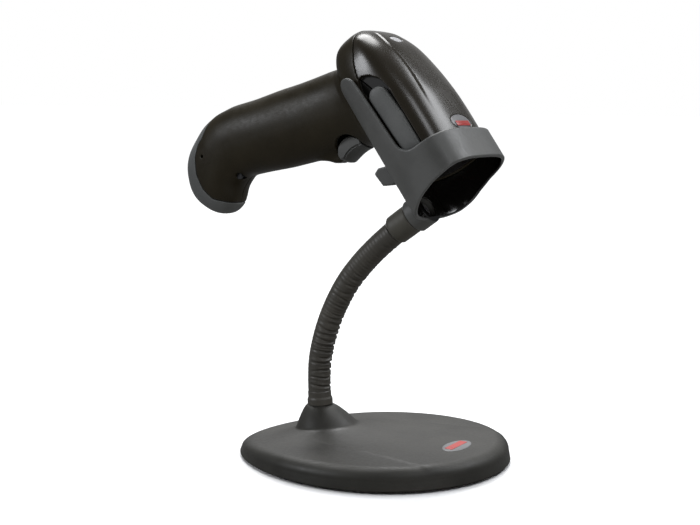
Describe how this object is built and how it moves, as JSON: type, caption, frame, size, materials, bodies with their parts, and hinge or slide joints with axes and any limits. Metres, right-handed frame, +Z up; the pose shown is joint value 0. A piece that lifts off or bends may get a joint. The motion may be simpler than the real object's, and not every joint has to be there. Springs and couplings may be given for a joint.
{
  "type": "handheld barcode scanner on a gooseneck stand",
  "caption": "Pistol-grip barcode scanner held nose-down in a ring cup on a bendable gooseneck that rises from a weighted oval base.",
  "frame": {"origin": "on the floor under the centre of the oval base", "axes": "+X from the gooseneck towards the badge on the base (the way the scanner faces), +Y to the object's left, +Z up"},
  "size_m": [0.2222, 0.1542, 0.2617],
  "materials": {
    "housing": "fine satin spark texture",
    "cover": "smooth semi-gloss",
    "cup_grey": "satin moulded",
    "rubber_grey": "soft matt",
    "stand_grey": "satin moulded",
    "neck_skin": "soft satin vinyl",
    "black_part": "matt",
    "black_rubber": "matt, fine grip texture",
    "steel": "zinc plated",
    "board": "solder-masked circuit board",
    "window": "red tinted, polished",
    "lens": "clear frosted",
    "badge": "printed, satin clear coat",
    "brass": "turned",
    "mirror": "first-surface mirror"
  },
  "bodies": {
    "stand_base": {"base_cover": "stand_grey", "base_badge": "badge", "non_slip_pad": "black_rubber", "base_bottom_plate": "black_part", "ballast_plate": "steel", "base_screw_1": "steel", "base_screw_2": "steel", "base_screw_3": "steel", "gooseneck_stud": "steel", "gooseneck_nut": "steel", "neck_collar": "black_part", "neck_sleeve_1": "neck_skin", "neck_core_1": "steel"},
    "neck_a": {"neck_sleeve_2": "neck_skin", "neck_core_2": "steel"},
    "neck_b": {"neck_sleeve_3": "neck_skin", "neck_core_3": "steel"},
    "neck_c": {"neck_sleeve_4": "neck_skin", "neck_core_4": "steel"},
    "neck_d": {"neck_sleeve_5": "neck_skin", "neck_core_5": "steel"},
    "cup_holder": {"neck_sleeve_6": "neck_skin", "neck_core_6": "steel", "neck_fitting": "black_part", "cup": "cup_grey", "cup_screw": "steel"},
    "scanner": {"top_cover": "cover", "status_lens": "lens", "front_badge": "badge", "housing_left": "housing", "housing_right": "housing", "handle_end_bumper": "rubber_grey", "side_bumper_left": "rubber_grey", "side_bumper_right": "rubber_grey", "nose_bezel": "black_part", "scan_window": "window", "trigger_pin": "steel", "trigger_spring": "steel", "main_board": "board", "trigger_switch": "black_part", "beeper": "black_part", "cable_socket": "black_part", "housing_screw_lower": "steel", "housing_screw_upper": "steel", "decoder_board": "board", "laser_chassis": "black_part", "laser_diode": "brass", "mirror_post": "steel", "collecting_mirror": "mirror", "light_sensor": "black_part", "chassis_screw_front": "steel", "chassis_screw_rear": "steel", "status_led": "lens"},
    "trigger_lever": {"trigger": "cup_grey"},
    "dither_mirror": {"scan_mirror": "mirror"}
  },
  "joints": [
    {"name": "neck_bend_1_fore_aft", "type": "hinge", "parent": "stand_base", "child": "neck_a", "pos_m": [-0.03724, 0, 0.05238], "axis": [0, 1, 0], "range_deg": [-10, 10]},
    {"name": "neck_bend_2_sideways", "type": "hinge", "parent": "neck_a", "child": "neck_b", "pos_m": [-0.03277, 0, 0.07487], "axis": [0.9536, 0, -0.301], "range_deg": [-10, 10]},
    {"name": "neck_bend_3_fore_aft", "type": "hinge", "parent": "neck_b", "child": "neck_c", "pos_m": [-0.02386, 0, 0.09604], "axis": [0, 1, 0], "range_deg": [-10, 10]},
    {"name": "neck_bend_4_sideways", "type": "hinge", "parent": "neck_c", "child": "neck_d", "pos_m": [-0.01117, 0, 0.11517], "axis": [0.7657, 0, -0.6432], "range_deg": [-10, 10]},
    {"name": "neck_bend_5_fore_aft", "type": "hinge", "parent": "neck_d", "child": "cup_holder", "pos_m": [0.00412, 0, 0.13096], "axis": [0, 1, 0], "range_deg": [-10, 10]},
    {"name": "scanner_lift_off", "type": "slide", "parent": "cup_holder", "child": "scanner", "axis": [-0.5818, 0.0349, 0.8126], "range_m": [0, 0.09]},
    {"name": "trigger_pull", "type": "hinge", "parent": "scanner", "child": "trigger_lever", "pos_m": [-0.0037, 0.0021, 0.2015], "axis": [0.0203, 0.9994, -0.0284], "range_deg": [0, 4.5], "stiffness_Nm_per_rad": 0.5, "springref_deg": -3.44},
    {"name": "scan_mirror_dither", "type": "hinge", "parent": "scanner", "child": "dither_mirror", "pos_m": [0.02692, 0.00565, 0.20752], "axis": [0.8131, 0, 0.5821], "range_deg": [-12, 12], "stiffness_Nm_per_rad": 0.01}
  ],
  "couplings": [
    {"joint": "neck_bend_3_fore_aft", "follows": "neck_bend_1_fore_aft", "ratio": 1},
    {"joint": "neck_bend_5_fore_aft", "follows": "neck_bend_1_fore_aft", "ratio": 1},
    {"joint": "neck_bend_4_sideways", "follows": "neck_bend_2_sideways", "ratio": 1}
  ]
}
